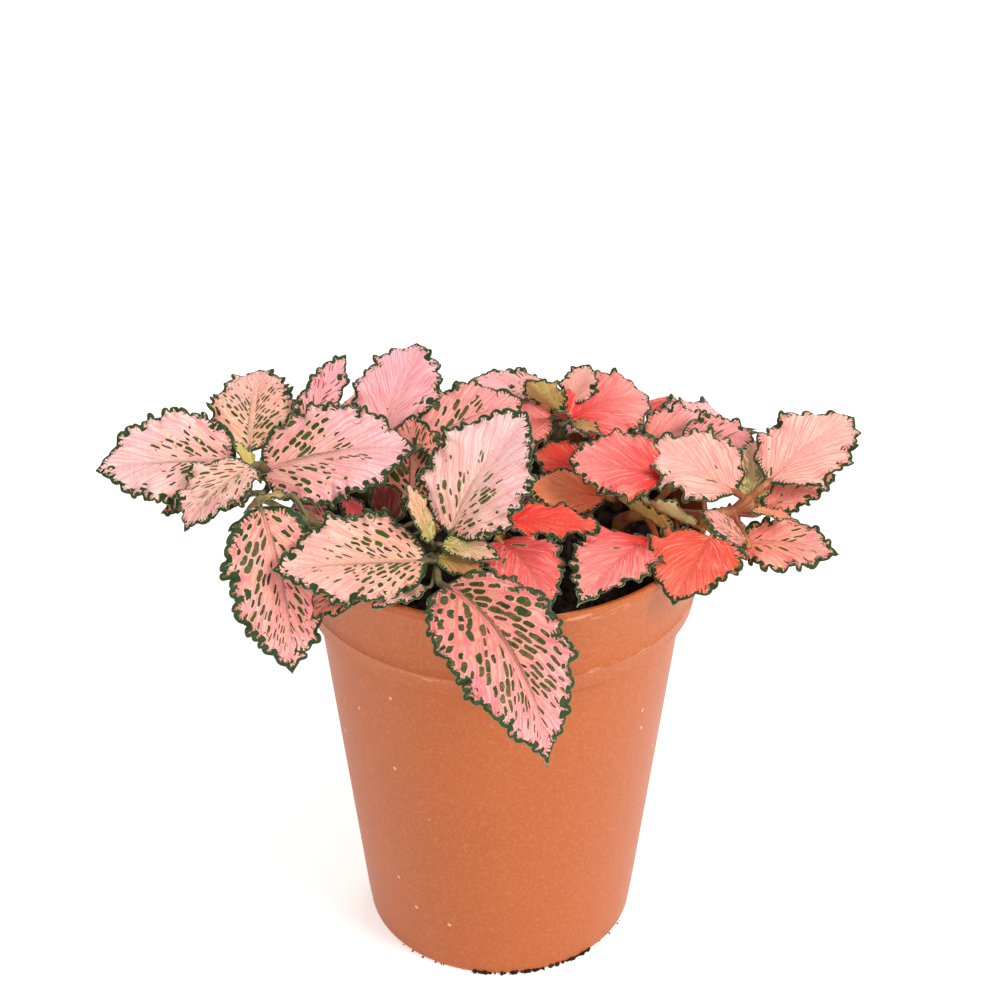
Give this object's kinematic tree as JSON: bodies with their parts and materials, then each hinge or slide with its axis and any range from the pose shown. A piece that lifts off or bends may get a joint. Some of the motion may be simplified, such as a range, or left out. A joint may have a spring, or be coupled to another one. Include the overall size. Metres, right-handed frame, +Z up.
{
  "type": "potted nerve plant",
  "caption": "Potted nerve plant: small toothed pink and red leaves with dark green margins and flecks, in potting mix, in a tapered terracotta-coloured plastic nursery pot.",
  "frame": {"origin": "centre of the pot's flat foot, on the surface that it stands on", "axes": "+X to the right and +Y to the back, seen from the front, where one large leaf hangs over the lip; +Z up"},
  "size_m": [0.1627, 0.1266, 0.138],
  "materials": {
    "pot": "matte",
    "soil": "matte",
    "leaf_pink": "satin",
    "leaf_red": "satin"
  },
  "bodies": {
    "root": {"pot": "pot", "soil": "soil", "shoot_left": "leaf_pink", "shoot_side": "leaf_pink", "shoot_front": "leaf_pink", "shoot_rear_left": "leaf_pink", "shoot_rear": "leaf_pink", "shoot_rear_right": "leaf_pink", "shoot_middle": "leaf_red", "shoot_near_right": "leaf_red", "shoot_right": "leaf_red", "shoot_back_left": "leaf_pink", "shoot_back": "leaf_pink", "shoot_back_right": "leaf_pink", "shoot_centre": "leaf_pink"}
  },
  "joints": []
}
